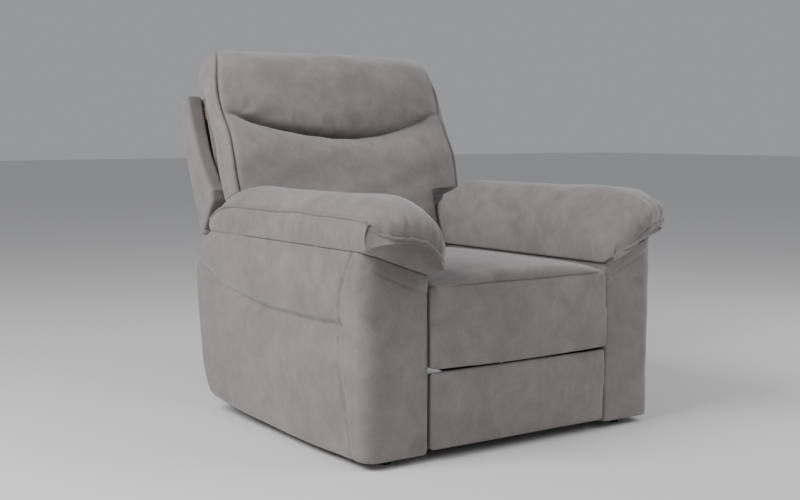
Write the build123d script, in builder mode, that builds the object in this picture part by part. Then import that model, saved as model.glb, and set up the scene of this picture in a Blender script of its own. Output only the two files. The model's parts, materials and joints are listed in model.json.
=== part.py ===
from build123d import *
import os
from math import atan2, cos, degrees, radians, sin

os.makedirs("parts", exist_ok=True)

# A recliner armchair that faces -Y, in millimetres, with the floor at Z = 0.
# Side-view points are (depth behind the arm fronts, height above the floor).
# Back points are (distance behind the back's pivot line, distance up it).

# ---- overall sizes ----
overall_width = 940
overall_depth = 1168
overall_height = 1043
arm_width = 182
arm_top_outer = 513          # height of the arm's upholstered box at its outer face
arm_top_inner = 447          # and at its inner face: the pad's seat slopes inwards
arm_bottom = 20
pad_reach = 98               # how far the arm pads stand out in front of the arms

# ---- back ----
pivot_height = 330
back_rake = 20
cover_back = 162             # rear face of the back's outer cover
cover_shoulder = 580         # where that face starts to lean in towards the top

back_reach = cover_back * cos(radians(back_rake)) + cover_shoulder * sin(radians(back_rake))
pivot_depth = overall_depth - pad_reach - back_reach
arm_front_y = pad_reach - overall_depth / 2
arm_depth = pivot_depth + 175
arm_outer = overall_width / 2
arm_inner = arm_outer - arm_width

# ---- arm box ----
side_panel = 18
inner_panel = 12
band_thickness = 18
frame_gap = 6                # air between the upholstery panels and the wooden frame
post_depth = 26
rail_height = 40
foot_radius = 18
foot_front = 60
foot_rear = pivot_depth + 40
foot_rear_top = 42           # the arm's lower edge rises towards the rear
cross_rail_front = 225

# ---- arm pad ----
pad_gap = 1
pad_crown = 640
pad_seam = 594
pad_nose = 552
pad_rear = pivot_depth + 58
pad_overlap = 9              # how far the pad hangs over the seat's edge of the arm

# ---- seat ----
seat_gap = 4                 # between the seat and each arm
seat_front = -16
seat_rear = pivot_depth - 30
seat_lip = 230               # lower edge of the front border
seat_rail_bottom = 345
seat_rail_height = 30
seat_rail_depth = 36
seat_rail_inset = 10         # the rear rail's distance from the cushion's rear edge
border_depth = 42
cushion_base = 382
cushion_side_height = 428
cushion_crown = 466
cushion_nose_radius = 30

# ---- sinuous springs ----
wire = 1.8
spring_wave = 20
spring_pitch = 36
seat_spring_count = 5
back_spring_count = 4

# ---- steel mechanism: layers across the chair, from the arm inwards ----
mechanism_rail = 4
swing_gap = 8
swing_thickness = 4
plate_gap = 6.5
plate_thickness = 3.5
link_thickness = 4
outer_link_gap = 2
link_gap = 1.5
link_width = 18
pin_radius = 4
pin_clearance = 0.05
flange_width = 47
tube_radius = 8
tube_wall = 2
pin_end = 0.6                # how far a pin stands past the last plate it holds

rail_inner = arm_inner - mechanism_rail
swing_inner = rail_inner - swing_gap - swing_thickness
plate_inner = swing_inner - plate_gap - plate_thickness
outer_link = plate_inner - outer_link_gap - link_thickness
inner_link = outer_link - link_gap - link_thickness
bracket_layer = inner_link - link_gap - link_thickness
seat_half = arm_inner - seat_gap

# ---- seat glide ----
glide = 75
swing_length = 110
swing_pin_height = 115
swing_pin_front = 300
swing_pin_rear = pivot_depth - 120
rail_front = 110
rail_rear = pivot_depth
rail_bottom = 92
rail_top = 140

# ---- footrest linkage: two crossings and a half of equal links ----
link_length = 178
linkage_depth = 180
linkage_height = 203
linkage_tilt = 3
closed_angle = 82
open_angle = 10
pad_front = -12
pad_thickness = 84
pad_bottom = 27
pad_top = 213
pad_lip_drop = 35            # the footrest pad's top falls to the rear, to pass below the border
footrest_gap = 5
board_thickness = 12

# ---- back cushions and frame ----
narrow_half = arm_inner - 20   # between the arms
lumbar_half = arm_outer - 75
wing_half = arm_outer - 50
wing_thickness = 48
cushion_inset = lumbar_half - 27
lumbar_bottom = 128
wide_bottom = 286
crease = 468
headrest_round = 5.3         # height lost to the headrest's rounded top
back_top = (overall_height - pivot_height - headrest_round) / cos(radians(back_rake))
cushion_front = -108
cushion_edge = -62
cushion_rear = 92
gusset_rear = 30
post_front = 104
post_back = 134
post_width = 40
post_bottom = 15
post_top = 606
cover_front = 136
cover_top = 638
wing_low_front = 51
wing_high_front = 92
wing_bottom = 216
wing_knee = 292
valance_top = 255
valance_thickness = 14


def side(x):
    """A side-view plane at x, drawn in depth behind the arm fronts and height."""
    return Plane(origin=(x, arm_front_y, 0), x_dir=(0, 1, 0), z_dir=(1, 0, 0))


def side_layer(sign, inner, thickness):
    """The side-view plane from which a layer on one side of the chair is extruded in +X."""
    return side(inner if sign > 0 else -inner - thickness)


def back_side(x):
    """A side-view plane that leans with the back, with its origin on the back's pivot."""
    rake = radians(back_rake)
    origin = (x, arm_front_y + pivot_depth, pivot_height)
    return Plane(origin=origin, x_dir=(0, cos(rake), -sin(rake)), z_dir=(1, 0, 0))


def back_layer(sign, inner, thickness):
    """The back's side-view plane from which a layer on one side is extruded in +X."""
    return back_side(inner if sign > 0 else -inner - thickness)


def back_across(up):
    """A plane square to the back's height: drawn in x and distance in front of the pivot line."""
    here = back_side(0)
    return Plane(origin=here.from_local_coords((0, up, 0)), x_dir=(-1, 0, 0), z_dir=here.y_dir)


def save(piece, label):
    """Label a finished piece and write its STEP file."""
    piece.part.label = label
    export_step(piece.part, f"parts/{label}.step")


def hand(sign):
    """The sitter's left is +X."""
    return "left" if sign > 0 else "right"


# ------------------------------------------------------------------ arms
def arm_bottom_line():
    """The arm's lower edge from the rear to the front: level, then rising to the rear."""
    return [(arm_depth - 42, 109), (arm_depth - 95, 52), (arm_depth - 195, 36), (360, arm_bottom)]


def arm_outline():
    """The arm's outline from the side."""
    corners = [(arm_depth - 135, arm_top_outer + 17), (arm_depth, 420)] + arm_bottom_line()
    with BuildSketch() as outline:
        with BuildLine():
            edge = FilletPolyline((0, arm_top_outer), *corners, (0, arm_bottom),
                                  radius=[60, 70, 45, 60, 80, 80])
            Line(edge @ 1, edge @ 0)
        make_face()
    return outline.sketch


def pad_seat_plane(sign):
    """The sloping plane on top of the arm box that the pad lies on."""
    rise = arm_top_outer - arm_top_inner
    return Plane(origin=(sign * arm_inner, 0, arm_top_inner), z_dir=(-sign * rise, 0, arm_width))


def pad_seat_height(across):
    """Height of that plane at a distance from the chair's middle."""
    return arm_top_inner + (across - arm_inner) * (arm_top_outer - arm_top_inner) / arm_width


def arm_side_panel(sign, inner, thickness):
    """A padded panel of the arm's full outline, cut off under the pad."""
    with BuildPart() as panel:
        with BuildSketch(side_layer(sign, inner, thickness)):
            add(arm_outline())
        extrude(amount=thickness)
        split(bisect_by=pad_seat_plane(sign), keep=Keep.BOTTOM)
    return panel


def arm_band(sign):
    """The arm's front, bottom and rear in one band between its two side panels."""
    inner = arm_inner + inner_panel
    width = arm_width - inner_panel - side_panel
    with BuildPart() as band:
        with BuildSketch(side_layer(sign, inner, width)):
            add(arm_outline())
            offset(amount=-band_thickness, kind=Kind.INTERSECTION, mode=Mode.SUBTRACT)
        extrude(amount=width)
        with BuildSketch(side_layer(sign, inner, width)):
            with Locations((arm_depth / 2, arm_top_outer)):
                Rectangle(arm_depth - 2 * band_thickness, arm_width)
        extrude(amount=width, mode=Mode.SUBTRACT)
        split(bisect_by=pad_seat_plane(sign), keep=Keep.BOTTOM)
    return band


frame_inner = arm_inner + inner_panel + frame_gap
frame_width = arm_width - inner_panel - side_panel - 2 * frame_gap
frame_top = pad_seat_height(frame_inner) - 2 * pad_gap
post_foot = 112
rear_post = arm_depth - 130
front_post = band_thickness + pad_gap
rail_start = front_post + post_depth
rail_length = rear_post - rail_start

for sign in (1, -1):
    outer = arm_side_panel(sign, arm_outer - side_panel, side_panel)
    save(outer, f"arm_outer_panel_{hand(sign)}")

    inner = arm_side_panel(sign, arm_inner, inner_panel)
    save(inner, f"arm_inner_panel_{hand(sign)}")

    band = arm_band(sign)
    save(band, f"arm_edge_band_{hand(sign)}")

    with BuildPart() as posts:
        for start, foot in ((front_post, arm_bottom + band_thickness), (rear_post, post_foot)):
            with BuildSketch(side_layer(sign, frame_inner, frame_width)):
                with Locations((start, foot)):
                    Rectangle(post_depth, frame_top - foot, align=(Align.MIN, Align.MIN))
            extrude(amount=frame_width)
    save(posts, f"arm_posts_{hand(sign)}")

    with BuildPart() as rails:
        for foot in (post_foot, frame_top - rail_height):
            with BuildSketch(side_layer(sign, frame_inner, frame_width / 2)):
                with Locations((rail_start, foot)):
                    Rectangle(rail_length, rail_height, align=(Align.MIN, Align.MIN))
            extrude(amount=frame_width / 2)
    save(rails, f"arm_rails_{hand(sign)}")


# Each station of an arm pad: depth, the heights of its outer seam, its crown and its inner
# shoulder, and how far its underside is lifted off the arm, which makes the drooping nose.
pad_stations = [
    (-pad_reach, pad_nose + 26, pad_nose, pad_nose - 27, 30),
    (-0.8 * pad_reach, pad_nose + 34, pad_nose + 20, pad_nose - 7, 24),
    (-0.45 * pad_reach, pad_seam - 2, pad_crown - 48, pad_crown - 68, 12),
    (15, pad_seam, pad_crown - 26, pad_crown - 40, 0),
    (110, pad_seam, pad_crown - 6, pad_crown - 12, 0),
    (0.4 * pad_rear, pad_seam, pad_crown, pad_crown - 6, 0),
    (0.8 * pad_rear, pad_seam, pad_crown - 6, pad_crown - 12, 0),
    (pad_rear - 58, pad_seam, pad_crown - 18, pad_crown - 24, 0),
    (pad_rear - 12, pad_seam - 18, pad_crown - 46, pad_crown - 56, 0),
    (pad_rear, pad_seam - 40, pad_crown - 80, pad_crown - 92, 0),
]


def pad_section(sign, seam, crown, shoulder, lift):
    """The pad's outline across the chair at one station."""
    low = pad_gap + lift
    inner = arm_inner - pad_overlap
    inner_low = pad_seat_height(inner) + low
    cheek = shoulder - 30
    points = [
        (inner, inner_low),
        (arm_outer, arm_top_outer + low),
        (arm_outer, seam),
        (arm_outer - 28, seam + 0.75 * (crown - seam)),
        (arm_outer - 85, crown),
        (arm_inner + 40, shoulder),
        (inner + 14, cheek),
        (inner, inner_low + 0.45 * (cheek - inner_low)),
    ]
    return [(sign * x, z) for x, z in points]


for sign in (1, -1):
    with BuildPart() as pad:
        for stretch in zip(pad_stations, pad_stations[1:]):
            for depth, seam, crown, shoulder, lift in stretch:
                with BuildSketch(Plane.XZ.offset(-arm_front_y - depth)):
                    with BuildLine():
                        Polyline(*pad_section(sign, seam, crown, shoulder, lift), close=True)
                    make_face()
            loft(ruled=True)
    save(pad, f"arm_pad_{hand(sign)}")

# ------------------------------------------------------------------ base between the arms
with BuildPart() as feet:
    for sign in (1, -1):
        for depth, height in ((foot_front, arm_bottom), (foot_rear, foot_rear_top)):
            with BuildSketch(Plane.XY):
                with Locations((sign * (arm_outer - arm_width / 2), arm_front_y + depth)):
                    Circle(foot_radius)
            extrude(amount=height)
save(feet, "feet")

cross_rail_bottom = 36
cross_rail_height = 48
for label, start in (("front_cross_rail", cross_rail_front), ("rear_cross_rail", rail_rear + 70)):
    with BuildPart() as cross_rail:
        with BuildSketch(side(-arm_inner)):
            with Locations((start, cross_rail_bottom)):
                Rectangle(post_depth, cross_rail_height, align=(Align.MIN, Align.MIN))
        extrude(amount=2 * arm_inner)
    save(cross_rail, label)

bolt_radius = 3.5
bolt_head = 6.5
bolt_head_height = 3
bolt_depths = (rail_front + 30, (rail_front + rail_rear) / 2, rail_rear - 30)
bolt_height = (rail_bottom + rail_top) / 2
bolt_length = mechanism_rail + inner_panel

for sign in (1, -1):
    with BuildPart() as rail:
        with BuildSketch(side_layer(sign, rail_inner, mechanism_rail)):
            with Locations((rail_front, rail_bottom)):
                Rectangle(rail_rear - rail_front, rail_top - rail_bottom, align=(Align.MIN, Align.MIN))
            with Locations(*[(depth, bolt_height) for depth in bolt_depths]):
                Circle(bolt_radius, mode=Mode.SUBTRACT)
            with Locations(*[(d, swing_pin_height) for d in (swing_pin_front, swing_pin_rear)]):
                Circle(pin_radius, mode=Mode.SUBTRACT)
        extrude(amount=mechanism_rail)
    save(rail, f"mechanism_rail_{hand(sign)}")

with BuildPart() as rail_bolts:
    for sign in (1, -1):
        with BuildSketch(side_layer(sign, rail_inner, mechanism_rail)):
            with Locations(*[(depth, bolt_height) for depth in bolt_depths]):
                Circle(bolt_radius)
        extrude(amount=mechanism_rail)
        with BuildSketch(side_layer(sign, rail_inner - bolt_head_height, bolt_head_height)):
            with Locations(*[(depth, bolt_height) for depth in bolt_depths]):
                RegularPolygon(bolt_head, 6)
        extrude(amount=bolt_head_height)
save(rail_bolts, "rail_bolts")

swing_head_height = 2
swing_head = swing_inner - 0.3 - swing_head_height
with BuildPart() as swing_pivot_pins:
    for sign in (1, -1):
        for depth in (swing_pin_front, swing_pin_rear):
            with BuildSketch(side_layer(sign, swing_head, arm_inner - swing_head)):
                with Locations((depth, swing_pin_height)):
                    Circle(pin_radius)
            extrude(amount=arm_inner - swing_head)
            with BuildSketch(side_layer(sign, swing_head, swing_head_height)):
                with Locations((depth, swing_pin_height)):
                    Circle(1.8 * pin_radius)
            extrude(amount=swing_head_height)
save(swing_pivot_pins, "swing_pivot_pins")

valance_bottom = 56
valance_low_depth = arm_depth - 47
valance_high_depth = arm_depth - 28
with BuildPart() as rear_valance:
    with BuildSketch(side(-arm_inner)):
        with BuildLine():
            Polyline((valance_low_depth, valance_bottom), (valance_high_depth, valance_top),
                     (valance_high_depth - valance_thickness, valance_top),
                     (valance_low_depth - valance_thickness, valance_bottom), close=True)
        make_face()
    extrude(amount=2 * arm_inner)
save(rear_valance, "rear_valance")


# ------------------------------------------------------------------ swing links under the seat
def swing_top(pin_depth):
    """The swing link's upper pin at rest, half the glide behind its lower pin."""
    rise = (swing_length**2 - (glide / 2)**2)**0.5
    return Vector(pin_depth + glide / 2, swing_pin_height + rise)


swing_rise = swing_length - swing_top(0).Y + swing_pin_height
swing_slope = degrees(atan2(swing_top(0).Y - swing_pin_height, glide / 2))
stud_end = plate_inner - pin_end

for label, depth in (("swing_links_front", swing_pin_front), ("swing_links_rear", swing_pin_rear)):
    top = swing_top(depth)
    with BuildPart() as swing_links:
        for sign in (1, -1):
            with BuildSketch(side_layer(sign, swing_inner, swing_thickness)):
                with Locations((Vector(depth, swing_pin_height) + top) * 0.5):
                    SlotCenterToCenter(swing_length, link_width, rotation=swing_slope)
                with Locations((depth, swing_pin_height)):
                    Circle(pin_radius + pin_clearance, mode=Mode.SUBTRACT)
            extrude(amount=swing_thickness)
            with BuildSketch(side_layer(sign, stud_end, swing_inner - stud_end)):
                with Locations(top):
                    Circle(pin_radius)
            extrude(amount=swing_inner - stud_end)
    save(swing_links, label)


# ------------------------------------------------------------------ footrest linkage
def linkage_point(along, below, angle=closed_angle):
    """A pivot of the linkage, counted in link lengths along and below its opening axis."""
    tilt = radians(linkage_tilt)
    run = along * link_length * cos(radians(angle))
    drop = below * link_length * sin(radians(angle))
    depth = linkage_depth - run * cos(tilt) - drop * sin(tilt)
    return Vector(depth, linkage_height + run * sin(tilt) - drop * cos(tilt))


pivot = Vector(pivot_depth, pivot_height)
fixed_pivot = linkage_point(0, 0)
slot_pin = linkage_point(0, 1)
slot_pin_open = linkage_point(0, 1, open_angle)
first_cross = linkage_point(0.5, 0.5)
first_low = linkage_point(1, 1)
first_high = linkage_point(1, 0)
second_cross = linkage_point(1.5, 0.5)
second_low = linkage_point(2, 1)
second_high = linkage_point(2, 0)
foot_pivot = linkage_point(2.5, 0.5)


def link_shape(start, end):
    """A link with round ends, from one pivot to another."""
    run = end - start
    with BuildSketch() as shape:
        with Locations((start + end) * 0.5):
            SlotCenterToCenter(run.length, link_width, rotation=degrees(atan2(run.Y, run.X)))
    return shape.sketch


def link_solid(sign, inner, ends, running=(), fixed=()):
    """A flat link in its layer: running holes turn on a pin, fixed holes hold one."""
    with BuildPart() as link:
        with BuildSketch(side_layer(sign, inner, link_thickness)):
            add(link_shape(*ends))
            for centre in running:
                with Locations(centre):
                    Circle(pin_radius + pin_clearance, mode=Mode.SUBTRACT)
            for centre in fixed:
                with Locations(centre):
                    Circle(pin_radius, mode=Mode.SUBTRACT)
        extrude(amount=link_thickness)
    return link.part


def pin_solid(sign, inner, outer, centre):
    """A round pin across the chair from one layer to another."""
    with BuildPart() as pin:
        with BuildSketch(side_layer(sign, inner, outer - inner)):
            with Locations(centre):
                Circle(pin_radius)
        extrude(amount=outer - inner)
    return pin.part


for sign in (1, -1):
    with BuildPart() as drive_link:
        add(link_solid(sign, outer_link, (fixed_pivot, first_low), [fixed_pivot], [first_cross, first_low]))
    save(drive_link, f"drive_link_{hand(sign)}")

with BuildPart() as drive_tube:
    with BuildSketch(side(-outer_link)):
        with Locations(fixed_pivot):
            Circle(tube_radius)
            Circle(tube_radius - tube_wall, mode=Mode.SUBTRACT)
    extrude(amount=2 * outer_link)
save(drive_tube, "drive_tube")

# Each pair of links: name, layer, its two ends, running holes and fixed holes.
link_pairs = [
    ("rear_rising_links", inner_link, (slot_pin, first_high), [first_cross], [slot_pin, first_high]),
    ("middle_rising_links", inner_link, (first_low, second_high), [first_low], [second_cross, second_high]),
    ("middle_falling_links", outer_link, (first_high, second_low), [first_high, second_cross], [second_low]),
    ("front_rising_links", inner_link, (second_low, foot_pivot), [second_low, foot_pivot], []),
    ("front_falling_links", outer_link, (second_high, foot_pivot), [second_high, foot_pivot], []),
]
for label, layer, ends, running, fixed in link_pairs:
    with BuildPart() as pair:
        for sign in (1, -1):
            add(link_solid(sign, layer, ends, running, fixed))
    save(pair, label)

# Each set of pins: name, and the inner and outer end and the centre of each of its pins.
outer_face = outer_link + link_thickness
plate_face = plate_inner + plate_thickness
inner_end = inner_link - pin_end
pin_sets = [
    ("drive_link_pins", [(inner_end, outer_face, first_cross), (inner_end, outer_face, first_low)]),
    ("rear_link_pins", [(inner_link, plate_face + pin_end, slot_pin), (inner_link, outer_face, first_high)]),
    ("middle_rising_pins", [(inner_link, outer_face, second_cross), (inner_link, outer_face, second_high)]),
    ("middle_falling_pins", [(inner_end, outer_face, second_low)]),
    ("footrest_pins", [(bracket_layer, outer_face, foot_pivot)]),
    ("seat_pivot_pins", [(outer_link, plate_face, fixed_pivot), (outer_link - pin_end, plate_face, pivot)]),
]
for label, pins in pin_sets:
    with BuildPart() as pin_set:
        for sign in (1, -1):
            for pin_inner, pin_outer, centre in pins:
                add(pin_solid(sign, pin_inner, pin_outer, centre))
    save(pin_set, label)

# ------------------------------------------------------------------ footrest
board_depth = pad_front + pad_thickness
board_top = pad_top - pad_lip_drop - 6
board_bottom = pad_bottom + 8
footrest_half = arm_inner - footrest_gap

with BuildPart() as footrest_pad:
    with BuildSketch(side(-footrest_half)):
        with BuildLine():
            front = FilletPolyline((board_depth, pad_bottom), (pad_front, pad_bottom), (pad_front, pad_top),
                                   (board_depth, pad_top - pad_lip_drop), radius=[22, 16])
            Line(front @ 1, front @ 0)
        make_face()
    extrude(amount=2 * footrest_half)
save(footrest_pad, "footrest_pad")

board_half = bracket_layer + 20
with BuildPart() as footrest_board:
    with BuildSketch(side(-board_half)):
        with Locations((board_depth, board_bottom)):
            Rectangle(board_thickness, board_top - board_bottom, align=(Align.MIN, Align.MIN))
    extrude(amount=2 * board_half)
save(footrest_board, "footrest_board")

bracket_height = 60
bracket_flange = 24
for sign in (1, -1):
    with BuildPart() as bracket:
        with BuildSketch(side_layer(sign, bracket_layer, link_thickness)):
            add(link_shape(foot_pivot, Vector(board_depth + board_thickness + link_width / 2, foot_pivot.Y)))
            with Locations((board_depth + board_thickness, foot_pivot.Y)):
                Rectangle(link_thickness, bracket_height, align=(Align.MIN, Align.CENTER))
            with Locations(foot_pivot):
                Circle(pin_radius, mode=Mode.SUBTRACT)
        extrude(amount=link_thickness)
        flange_start = bracket_layer - bracket_flange
        with BuildSketch(side_layer(sign, flange_start, bracket_flange)):
            with Locations((board_depth + board_thickness, foot_pivot.Y)):
                Rectangle(link_thickness, bracket_height, align=(Align.MIN, Align.CENTER))
        extrude(amount=bracket_flange)
        trim_start = side_layer(sign, flange_start - 1, 60)
        with BuildSketch(trim_start):
            with Locations((board_depth, foot_pivot.Y)):
                Rectangle(board_thickness, 2 * bracket_height, align=(Align.MIN, Align.CENTER))
        extrude(amount=60, mode=Mode.SUBTRACT)
    save(bracket, f"footrest_bracket_{hand(sign)}")

# ------------------------------------------------------------------ seat frame
slot_play = 0.4
lobe_width = 50
plate_low = swing_top(0).Y - 16
plate_rear = pivot_depth + 24

for sign in (1, -1):
    with BuildPart() as plate:
        with BuildSketch(side_layer(sign, plate_inner, plate_thickness)):
            with BuildLine():
                lobe = fixed_pivot.X + lobe_width / 2
                edge = FilletPolyline(
                    (lobe - lobe_width, seat_rail_bottom), (lobe - lobe_width, slot_pin.Y - 14),
                    (lobe - 4, slot_pin.Y - 14), (lobe + 2, plate_low), (pivot_depth - 70, plate_low),
                    (plate_rear, pivot_height - 30), (plate_rear, seat_rail_bottom),
                    radius=[14, 14, 14, 40, 24])
                Line(edge @ 1, edge @ 0)
            make_face()
            with Locations(fixed_pivot, pivot):
                Circle(pin_radius, mode=Mode.SUBTRACT)
            with Locations((slot_pin + slot_pin_open) * 0.5):
                SlotCenterToCenter((slot_pin - slot_pin_open).length, 2 * (pin_radius + pin_clearance),
                                   rotation=90 - linkage_tilt, mode=Mode.SUBTRACT)
            for depth in (swing_pin_front, swing_pin_rear):
                with Locations(swing_top(depth) + Vector(0, swing_rise / 2)):
                    SlotCenterToCenter(swing_rise + slot_play, 2 * (pin_radius + slot_play),
                                       rotation=90, mode=Mode.SUBTRACT)
        extrude(amount=plate_thickness)
        with BuildSketch(side_layer(sign, plate_inner - flange_width, flange_width)):
            with Locations((lobe, seat_rail_bottom)):
                Rectangle(seat_rear - seat_rail_inset - lobe, plate_thickness, align=(Align.MIN, Align.MAX))
        extrude(amount=flange_width)
    save(plate, f"side_plate_{hand(sign)}")

seat_rail_outer = plate_inner
side_rail_width = flange_width
rail_face = seat_front + border_depth
side_rail_start = rail_face + seat_rail_depth
side_rail_end = seat_rear - seat_rail_inset - seat_rail_depth

for sign in (1, -1):
    with BuildPart() as side_rail:
        start = seat_rail_outer - side_rail_width
        with BuildSketch(side_layer(sign, start, side_rail_width)):
            with Locations((side_rail_start, seat_rail_bottom)):
                Rectangle(side_rail_end - side_rail_start, seat_rail_height, align=(Align.MIN, Align.MIN))
        extrude(amount=side_rail_width)
    save(side_rail, f"seat_side_rail_{hand(sign)}")

front_board = 8
with BuildPart() as seat_front_rail:
    with BuildSketch(side(-seat_rail_outer)):
        with Locations((rail_face, seat_rail_bottom)):
            Rectangle(seat_rail_depth, seat_rail_height, align=(Align.MIN, Align.MIN))
        with Locations((rail_face, seat_lip + 12)):
            Rectangle(front_board, seat_rail_bottom - seat_lip, align=(Align.MIN, Align.MIN))
    extrude(amount=2 * seat_rail_outer)
save(seat_front_rail, "seat_front_rail")

with BuildPart() as seat_rear_rail:
    with BuildSketch(side(-seat_rail_outer)):
        with Locations((side_rail_end, seat_rail_bottom)):
            Rectangle(seat_rail_depth, seat_rail_height, align=(Align.MIN, Align.MIN))
    extrude(amount=2 * seat_rail_outer)
save(seat_rear_rail, "seat_rear_rail")


def spring_line(start, end, middle):
    """The zigzag of one sinuous spring between two rails, as points in its own plane."""
    waves = round((end - start) / spring_pitch)
    step = (end - start) / waves
    points = [(start, middle)]
    for wave in range(waves):
        reach = middle + (spring_wave if wave % 2 else -spring_wave)
        points += [(start + (wave + 0.2) * step, reach), (start + (wave + 0.8) * step, reach)]
    return points + [(end, middle)]


def spring_solid(plane, start, end, middle):
    """One spring: round wire swept along its zigzag."""
    points = [plane.from_local_coords((along, across, 0))
              for along, across in spring_line(start, end, middle)]
    with BuildPart() as spring:
        with BuildLine() as path:
            FilletPolyline(*points, radius=5)
        with BuildSketch(Plane(origin=path.line @ 0, z_dir=path.line % 0)):
            Circle(wire)
        sweep(path=path.line)
    return spring.part


spring_start = rail_face + seat_rail_depth / 2
spring_end = seat_rear - seat_rail_inset - seat_rail_depth / 2
spring_span = 2 * (seat_rail_outer - side_rail_width - spring_wave)
seat_spring_plane = Plane(origin=(0, arm_front_y, seat_rail_bottom + seat_rail_height + wire),
                          x_dir=(0, 1, 0), z_dir=(0, 0, 1))
with BuildPart() as seat_springs:
    for count in range(seat_spring_count):
        middle = spring_span * ((count + 0.5) / seat_spring_count - 0.5)
        add(spring_solid(seat_spring_plane, spring_start, spring_end, middle))
save(seat_springs, "seat_springs")

with BuildPart() as seat_cushion:
    with BuildSketch(side(-seat_half)):
        with BuildLine():
            shape = FilletPolyline((seat_rear, cushion_base), (seat_front, cushion_base),
                                   (seat_front, cushion_crown), (seat_rear, cushion_crown),
                                   radius=[6, cushion_nose_radius])
            Line(shape @ 1, shape @ 0)
        make_face()
    extrude(amount=2 * seat_half)
    with BuildSketch(Plane.XZ.offset(-arm_front_y - seat_rear)):
        with BuildLine():
            crown = ThreePointArc((-seat_half, cushion_side_height), (0, cushion_crown),
                                  (seat_half, cushion_side_height))
            Polyline(crown @ 1, (seat_half, cushion_base), (-seat_half, cushion_base), crown @ 0)
        make_face()
    extrude(amount=seat_rear - seat_front, mode=Mode.INTERSECT)
save(seat_cushion, "seat_cushion")

with BuildPart() as seat_border:
    with BuildSketch(side(-seat_half)):
        with BuildLine():
            shape = FilletPolyline((rail_face, seat_lip + 14), (seat_front + 12, seat_lip),
                                   (seat_front, seat_lip + 14), (seat_front, cushion_base - 1),
                                   (rail_face, cushion_base - 1), radius=[8, 10, 5])
            Line(shape @ 1, shape @ 0)
        make_face()
    extrude(amount=2 * seat_half)
save(seat_border, "seat_border")

# ------------------------------------------------------------------ back
back_bracket_rise = lumbar_bottom - 8
with BuildPart() as back_brackets:
    for sign in (1, -1):
        with BuildSketch(back_layer(sign, outer_link, link_thickness)):
            with BuildLine():
                shape = FilletPolyline((0, -20), (post_back, post_bottom + 4), (post_back, back_bracket_rise),
                                       (post_front - 14, back_bracket_rise), (-18, 20), radius=[10, 8, 20])
                Line(shape @ 1, (-18, -8))
                Line((-18, -8), shape @ 0)
            make_face()
            Circle(pin_radius + pin_clearance, mode=Mode.SUBTRACT)
        extrude(amount=link_thickness)
save(back_brackets, "back_brackets")

post_inner = outer_link - post_width
for sign in (1, -1):
    with BuildPart() as back_post:
        with BuildSketch(back_layer(sign, post_inner, post_width)):
            with Locations((post_front, post_bottom)):
                Rectangle(post_back - post_front, post_top - post_bottom - rail_height,
                          align=(Align.MIN, Align.MIN))
        extrude(amount=post_width)
    save(back_post, f"back_post_{hand(sign)}")

with BuildPart() as back_rail_top:
    with BuildSketch(back_side(-cushion_inset)):
        with Locations((post_front, post_top)):
            Rectangle(post_back - post_front, rail_height, align=(Align.MIN, Align.MAX))
    extrude(amount=2 * cushion_inset)
save(back_rail_top, "back_rail_top")

low_rail = 70
with BuildPart() as back_rail_bottom:
    with BuildSketch(back_side(-post_inner)):
        with Locations((post_front, low_rail)):
            Rectangle(post_back - post_front, rail_height, align=(Align.MIN, Align.MIN))
    extrude(amount=2 * post_inner)
save(back_rail_bottom, "back_rail_bottom")

back_face = back_side(0)
back_spring_plane = Plane(origin=back_face.from_local_coords((post_front - wire, 0, 0)),
                          x_dir=back_face.y_dir, z_dir=-back_face.x_dir)
back_spring_span = 2 * (post_inner - spring_wave)
with BuildPart() as back_springs:
    for count in range(back_spring_count):
        middle = back_spring_span * ((count + 0.5) / back_spring_count - 0.5)
        add(spring_solid(back_spring_plane, low_rail + rail_height / 2, post_top - rail_height / 2, middle))
save(back_springs, "back_springs")


def cushion_plan(rear):
    """A back cushion seen from above: a crowned front, and a step in at the rear."""
    with BuildSketch() as plan:
        with BuildLine():
            crown = ThreePointArc((-lumbar_half, -cushion_edge), (0, -cushion_front),
                                  (lumbar_half, -cushion_edge))
            Polyline(crown @ 1, (lumbar_half, -gusset_rear), (cushion_inset, -gusset_rear),
                     (cushion_inset, -rear), (-cushion_inset, -rear),
                     (-cushion_inset, -gusset_rear), (-lumbar_half, -gusset_rear), crown @ 0)
        make_face()
    return plan.sketch


with BuildPart() as lumbar_cushion:
    with BuildSketch(back_side(-narrow_half)):
        with BuildLine():
            shape = FilletPolyline((cushion_rear, lumbar_bottom), (cushion_front + 18, lumbar_bottom),
                                   (cushion_front, lumbar_bottom + 60), (cushion_front, wide_bottom + 1),
                                   (cushion_rear, wide_bottom + 1), radius=[30, 40, 2])
            Line(shape @ 1, shape @ 0)
        make_face()
    extrude(amount=2 * narrow_half)
    with BuildSketch(back_side(-lumbar_half)):
        with BuildLine():
            shape = FilletPolyline((cushion_rear, wide_bottom), (cushion_front, wide_bottom),
                                   (cushion_front, crease - 1), (cushion_rear, crease - 1), radius=[6, 40])
            Line(shape @ 1, shape @ 0)
        make_face()
    extrude(amount=2 * lumbar_half)
    with BuildSketch(back_across(0)):
        add(cushion_plan(cushion_rear))
    extrude(amount=crease, mode=Mode.INTERSECT)
save(lumbar_cushion, "lumbar_cushion")

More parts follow.
